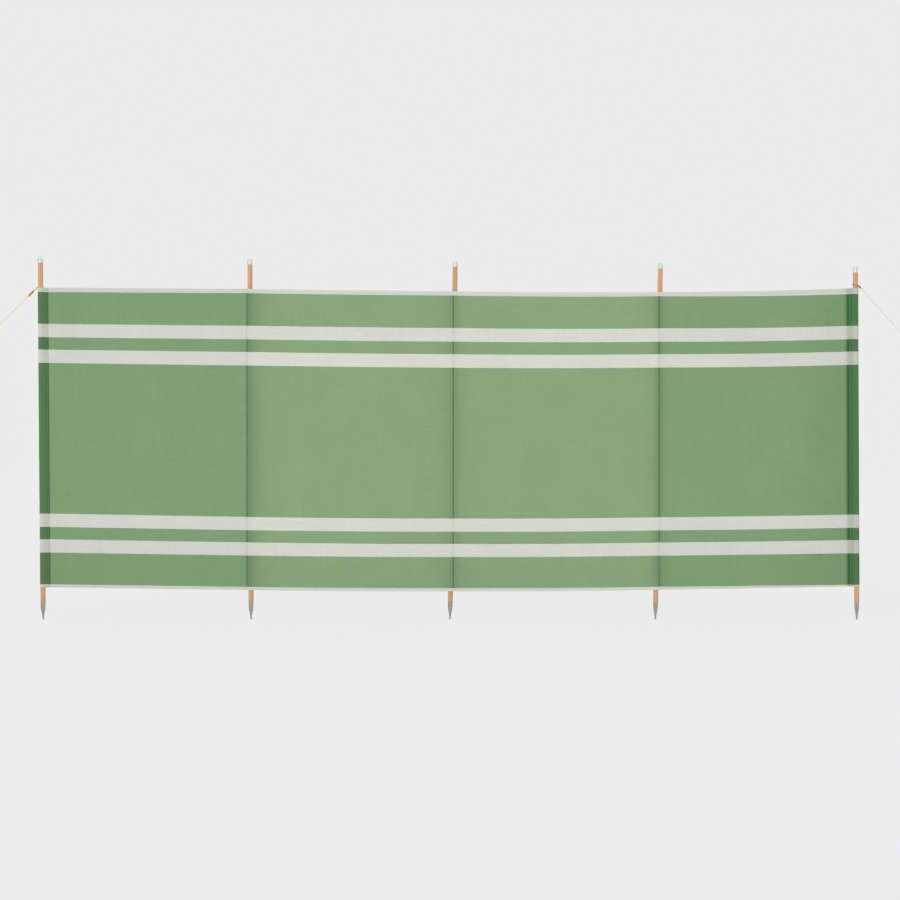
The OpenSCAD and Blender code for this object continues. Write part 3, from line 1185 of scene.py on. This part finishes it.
class WINDBREAK_OT_spikes(bpy.types.Operator):
    """Give the spikes their steel, the lap of the rolled sheet, its open notch and a nail"""

    bl_idname = "windbreak.spikes"
    bl_label = "Spikes"

    def execute(self, context):
        for pole in POLES:
            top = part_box(f"spike_{pole}")[1].z
            lap = self.strip(pole, LAP_FOOT, top - LAP_TOP, LAP_WIDTHS, LAP_RAISED)
            notch = self.strip(pole, top - NOTCH_FOOT, top - NOTCH_TOP, NOTCH_WIDTHS, NOTCH_RAISED)
            dress(f"spike_{pole}", spike_material())
            add_piece(f"spike_{pole}_lap", lap, spike_material())
            add_piece(f"spike_{pole}_notch", notch, wood_material())
            add_piece(f"spike_{pole}_nail", self.nail(pole, top - NAIL_DROP), cap_material())
        return {"FINISHED"}

    def side_radius(self, pole, z):
        """The spike's outer radius at height z, from its CAD node's box and the pole's collar pin."""
        collar = mount(f"{POLE_NAMES[pole - 1]}_spike_collar")["dims"]
        cone_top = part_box(f"spike_{pole}")[1].z - collar["length_mm"] * MM
        share = (z - SPIKE_TIP_H) / (cone_top - SPIKE_TIP_H)
        return mix(SPIKE_TIP_R, collar["r_mm"] * MM, min(max(share, 0.0), 1.0))

    def strip(self, pole, low, top, widths, raised):
        """A thin strip of sheet up the front of a spike, from one half width to another."""

        def place(s, t):
            z = mix(low, top, t)
            radius = self.side_radius(pole, z) + raised
            turn = (2 * s - 1) * mix(*widths, t) / radius
            return POLES[pole].turned(z, STRIP_FACING + turn, radius)

        mesh = grid_piece(even(STRIP_COLUMNS), even(STRIP_ROWS), place)
        bmesh.ops.solidify(mesh, geom=mesh.faces[:], thickness=STRIP_THICKNESS)
        bmesh.ops.recalc_face_normals(mesh, faces=mesh.faces)
        return mesh

    def nail(self, pole, z):
        """A small domed nail head on the collar."""
        mesh = bmesh.new()
        bmesh.ops.create_uvsphere(mesh, u_segments=12, v_segments=8, radius=NAIL_R)
        flat = Matrix.Diagonal((NAIL_FLATNESS, 1, 1, 1))
        spot = POLES[pole].turned(z, NAIL_FACING, self.side_radius(pole, z))
        place = Matrix.Translation(spot) @ Matrix.Rotation(NAIL_FACING, 4, "Z") @ flat
        bmesh.ops.transform(mesh, matrix=place, verts=mesh.verts)
        return mesh


# ----------------------------------------------------------------------- guy ropes and pegs

LOOP_TIP = {"left": math.radians(9), "right": math.radians(12)}
LOOP_AMBER = {"left": 0.35, "right": 1.0}
PEG_LOOP_AMBER = 0.25
ROPE_AMBER, ROPE_AMBER_FADE = 0.9, 10 * MM  # where a rope leaves its knot
POINTS_PER_LAY = 10
POLE_LOOP_POINTS = 72
PEG_LOOP_POINTS = 36
KNOT_CORD_R = 1.55 * MM
KNOT_LAY = 9 * MM
COIL_POINTS = 20  # on one turn of a knot
COIL_END_R = 0.86  # a knot's radius at its ends, beside its middle
BARREL_END_R = 0.72  # the same for its CAD barrel
STRAND_PRESSED = 1.04  # how much thicker a strand is drawn, as it is pressed on the others


def round_circle(axis, angle, radius, first=None):
    """The way from a circle's middle to its point at an angle."""
    first = first or axis.orthogonal().normalized()
    return (first * math.cos(angle) + axis.cross(first) * math.sin(angle)) * radius


def sides_along(path, closed):
    """A path's direction and one across it at each of its points, turned as little as possible."""
    count = len(path)
    side = None
    found = []
    for k in range(count):
        before = path[k - 1] if closed or k else path[0]
        after = path[(k + 1) % count] if closed or k + 1 < count else path[-1]
        along = (after - before).normalized()
        if side is None:
            side = along.orthogonal().normalized()
        side = (side - along * side.dot(along)).normalized()
        found.append((along, side))
    return found


def tube(name, strands, radius, closed):
    """A mesh of round tubes that follow lists of points."""
    curve = bpy.data.curves.new(name, "CURVE")
    curve.dimensions = "3D"
    curve.bevel_depth = radius
    curve.bevel_resolution = 1
    curve.use_fill_caps = not closed
    for points in strands:
        spline = curve.splines.new("POLY")
        spline.points.add(len(points) - 1)
        for knot, point in zip(spline.points, points):
            knot.co = (*point, 1)
        spline.use_cyclic_u = closed
    holder = bpy.data.objects.new(f"{name}_curve", curve)
    bpy.context.scene.collection.objects.link(holder)
    graph = bpy.context.evaluated_depsgraph_get()
    mesh = bpy.data.meshes.new_from_object(holder.evaluated_get(graph))
    bpy.data.objects.remove(holder)
    bpy.data.curves.remove(curve)
    return mesh


def laid_cord(name, path, radius, lay, closed=False):
    """A cord of three strands laid round each other along a path of close points."""
    strand_r = radius / (1 + 2 / math.sqrt(3))
    twist_r = radius - strand_r
    lengths = [0.0]
    for here, there in zip(path, path[1:] + ([path[0]] if closed else [])):
        lengths.append(lengths[-1] + (there - here).length)
    turns = lengths[-1] / lay
    if closed:
        turns = max(1, round(turns))
    across = sides_along(path, closed)
    strands = []
    for strand in range(3):
        points = []
        for k, point in enumerate(path):
            angle = math.tau * (turns * lengths[k] / lengths[-1] + strand / 3)
            along, side = across[k]
            points.append(point + round_circle(along, angle, twist_r, side))
        strands.append(points)
    return tube(name, strands, strand_r * STRAND_PRESSED, closed)


class GuyLine:
    """A guy rope's ends, from the CAD loops on its pole and on its peg."""

    def __init__(self, side):
        out = -1 if side == "left" else 1
        low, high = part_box(f"guy_loop_{side}")
        self.tie = (low + high) / 2
        self.pole_loop_r = (high.x - low.x) / 2 - ROPE_R
        low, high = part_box(f"peg_loop_{side}")
        self.neck = (low + high) / 2
        inward = (high.x - low.x) / 2 - ROPE_R
        raised = (high.z - low.z) / 2 - ROPE_R
        self.peg_loop_r = math.hypot(inward, raised)
        # The pull of the rope tips its loop down on the outer side.
        tip = LOOP_TIP[side]
        self.loop_axis = Vector((out * math.sin(tip), 0, math.cos(tip)))
        self.start = self.tie + Vector((out * math.cos(tip), 0, -math.sin(tip))) * self.pole_loop_r
        self.way = self.neck + Vector((-out * inward, 0, raised)) - self.start
        self.along = self.way.normalized()
        # The peg leans away from its pole, so its wire is square to its loop.
        self.peg_up = Vector((out * raised, 0, inward)).normalized()


def ring_path(centre, axis, radius, count):
    """Points round a circle."""
    return [centre + round_circle(axis, math.tau * k / count, radius) for k in range(count)]


def coil_path(middle, along, radius, length, turns):
    """Points along a coil of close turns round a rope."""
    count = turns * COIL_POINTS
    path = []
    for k in range(count + 1):
        swell = radius * mix(COIL_END_R, 1.0, math.sin(math.pi * k / count) ** 0.5)
        round_it = round_circle(along, math.tau * k / COIL_POINTS, swell)
        path.append(middle + along * length * (k / count - 0.5) + round_it)
    return path


def add_cord(name, path, radius, lay, replaced, tied, closed=False):
    """Makes a cord's object. tied(point) says how amber the cord is there."""
    mesh = laid_cord(name, path, radius, lay, closed)
    share = mesh.attributes.new("tied", "FLOAT", "POINT")
    for vert in mesh.vertices:
        share.data[vert.index].value = tied(vert.co)
    add_piece(name, mesh, cord_material(), [replaced])


class WINDBREAK_OT_guy_ropes(bpy.types.Operator):
    """Build the two guy ropes with their loops and knots"""

    bl_idname = "windbreak.guy_ropes"
    bl_label = "Guy ropes"

    def execute(self, context):
        lay = context.scene.windbreak_ropes.lay
        for side in SIDES:
            line = GuyLine(side)
            middle, length, outer = self.knot_size(side, line)
            knot_end = (middle - line.start).dot(line.along) + length / 2
            rope = [line.start + line.way * f for f in even(round(line.way.length / lay * POINTS_PER_LAY))]
            pole_ring = ring_path(line.tie, line.loop_axis, line.pole_loop_r, POLE_LOOP_POINTS)
            peg_ring = ring_path(line.neck, line.peg_up, line.peg_loop_r, PEG_LOOP_POINTS)
            turns = round(length / (2 * KNOT_CORD_R))
            coil = coil_path(middle, line.along, outer - KNOT_CORD_R, length - 2 * KNOT_CORD_R, turns)

            def fading(point):
                beyond = (point - line.start).dot(line.along) - knot_end
                return ROPE_AMBER * smooth_step(1 - beyond / ROPE_AMBER_FADE)

            add_cord(f"{side}_guy_rope", rope, ROPE_R, lay, f"guy_rope_{side}", fading)
            for name, ring, node, amber in (
                (f"{side}_guy_loop", pole_ring, f"guy_loop_{side}", LOOP_AMBER[side]),
                (f"{side}_peg_loop", peg_ring, f"peg_loop_{side}", PEG_LOOP_AMBER),
            ):
                add_cord(name, ring, ROPE_R, lay, node, lambda point: amber, closed=True)
            knot = f"{side}_guy_knot"
            add_cord(knot, coil, KNOT_CORD_R, KNOT_LAY, f"guy_knot_{side}", lambda point: 1.0)
        return {"FINISHED"}

    def knot_size(self, side, line):
        """The middle, length and outer radius of a knot, from the box of its sloping CAD barrel."""
        low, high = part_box(f"guy_knot_{side}")
        outer = (high.y - low.y) / 2
        ends = 2 * BARREL_END_R * outer * abs(line.along.z)
        length = (high.x - low.x - ends) / abs(line.along.x)
        middle = line.start + line.along * ((low + high) / 2 - line.start).dot(line.along)
        return middle, length, outer


class WINDBREAK_OT_pegs(bpy.types.Operator):
    """Give the two pegs their zinc"""

    bl_idname = "windbreak.pegs"
    bl_label = "Pegs"

    def execute(self, context):
        for side in SIDES:
            dress(f"peg_{side}", peg_material())
        return {"FINISHED"}


# ---------------------------------------------------------------------------------- stage

FLOOR_REACH = 60
FLOOR_GLOW = 0.945
FLOOR_SHADE = 0.075  # how much of the light the floor gives back, so that it takes soft shadows
KEY_SOFTNESS = math.radians(35)
KEY_WAY = Vector((0.35, 0.8, -0.55))
CLIP_END = 200


class WINDBREAK_OT_stage(bpy.types.Operator):
    """Build the pale floor, the soft lights and the camera"""

    bl_idname = "windbreak.stage"
    bl_label = "Stage"

    def execute(self, context):
        scene = context.scene
        stage = scene.windbreak_stage
        scene.view_settings.view_transform = "Standard"
        self.floor(scene, stage)
        self.sky(scene, stage)
        self.key(scene, stage)
        self.camera(scene, stage)
        return {"FINISHED"}

    def floor(self, scene, stage):
        """A seamless pale floor that glows a little, so that it stays even."""
        mesh = bmesh.new()
        bmesh.ops.create_grid(mesh, x_segments=1, y_segments=1, size=FLOOR_REACH)
        data = bpy.data.meshes.new("studio_floor")
        mesh.to_mesh(data)
        mesh.free()
        material, tree = start_material("seamless_paper")
        glow = add(tree, "ShaderNodeEmission", {"Color": rgba(stage.backdrop), "Strength": FLOOR_GLOW})
        shade = rgba([FLOOR_SHADE * c for c in stage.backdrop])
        paper = add(tree, "ShaderNodeBsdfDiffuse", {"Color": shade})
        both = add(tree, "ShaderNodeAddShader", {0: glow.outputs["Emission"], 1: paper.outputs["BSDF"]})
        data.materials.append(finished(material, both.outputs["Shader"]))
        floor = bpy.data.objects.new("studio_floor", data)
        scene.collection.objects.link(floor)

    def sky(self, scene, stage):
        """An even backdrop that lights the cloth less strongly than it looks."""
        world = bpy.data.worlds.new("studio_light")
        world.use_nodes = True
        scene.world = world
        tree = world.node_tree
        tree.nodes.clear()

        def background(strength):
            inputs = {"Color": rgba(stage.backdrop), "Strength": strength}
            return add(tree, "ShaderNodeBackground", inputs).outputs["Background"]

        seen, light = background(1.0), background(stage.sky)
        ray = add(tree, "ShaderNodeLightPath").outputs
        direct = compute(tree, "MAXIMUM", ray["Is Camera Ray"], ray["Is Glossy Ray"])
        both = add(tree, "ShaderNodeMixShader", {"Fac": direct, 1: light, 2: seen}).outputs["Shader"]
        add(tree, "ShaderNodeOutputWorld", {"Surface": both})

    def key(self, scene, stage):
        """A broad soft light from the front, above and a little to the left."""
        lamp = bpy.data.lights.new("key_light", "SUN")
        lamp.energy = stage.key
        lamp.angle = KEY_SOFTNESS
        holder = bpy.data.objects.new("key_light", lamp)
        holder.rotation_mode = "QUATERNION"
        holder.rotation_quaternion = KEY_WAY.to_track_quat("-Z", "Y")
        scene.collection.objects.link(holder)

    def camera(self, scene, stage):
        """A long lens, square to the cloth."""
        lens = bpy.data.cameras.new("camera")
        lens.lens = stage.lens
        lens.clip_end = CLIP_END
        eye = bpy.data.objects.new("camera", lens)
        reach = stage.view_width * lens.lens / lens.sensor_width
        eye.location = (0, CLOTH_Y - reach, stage.view_height)
        eye.rotation_euler = (math.pi / 2, 0, 0)
        scene.collection.objects.link(eye)
        scene.camera = eye


# --------------------------------------------------------------------------------- add-on

OPERATORS = (
    WINDBREAK_OT_stage,
    WINDBREAK_OT_poles,
    WINDBREAK_OT_caps,
    WINDBREAK_OT_spikes,
    WINDBREAK_OT_cloth_bays,
    WINDBREAK_OT_pole_pockets,
    WINDBREAK_OT_end_pockets,
    WINDBREAK_OT_guy_ropes,
    WINDBREAK_OT_pegs,
)


class WINDBREAK_PT_panel(bpy.types.Panel):
    """The windbreak's pieces and their settings"""

    bl_idname = "WINDBREAK_PT_panel"
    bl_label = "Windbreak"
    bl_space_type = "VIEW_3D"
    bl_region_type = "UI"
    bl_category = "Windbreak"

    def draw(self, context):
        layout = self.layout
        for operator in OPERATORS:
            layout.operator(operator.bl_idname)
        for name in SETTINGS:
            group = getattr(context.scene, name)
            box = layout.box()
            for prop in group.bl_rna.properties:
                if prop.identifier not in ("rna_type", "name"):
                    box.prop(group, prop.identifier)


SETTINGS = {
    "windbreak_cloth": WindbreakClothSettings,
    "windbreak_poles": WindbreakPoleSettings,
    "windbreak_ropes": WindbreakRopeSettings,
    "windbreak_stage": WindbreakStageSettings,
}
CLASSES = (*SETTINGS.values(), *OPERATORS, WINDBREAK_PT_panel)


def register():
    for cls in CLASSES:
        bpy.utils.register_class(cls)
    for name, group in SETTINGS.items():
        setattr(bpy.types.Scene, name, PointerProperty(type=group))


def unregister():
    for name in SETTINGS:
        delattr(bpy.types.Scene, name)
    for cls in reversed(CLASSES):
        bpy.utils.unregister_class(cls)


def main():
    """Builds every piece in order."""
    register()
    bpy.ops.windbreak.stage()
    bpy.ops.windbreak.poles()
    bpy.ops.windbreak.caps()
    bpy.ops.windbreak.spikes()
    bpy.ops.windbreak.cloth_bays()
    bpy.ops.windbreak.pole_pockets()
    bpy.ops.windbreak.end_pockets()
    bpy.ops.windbreak.guy_ropes()
    bpy.ops.windbreak.pegs()
    bpy.context.view_layer.update()


if __name__ == "__main__":
    main()
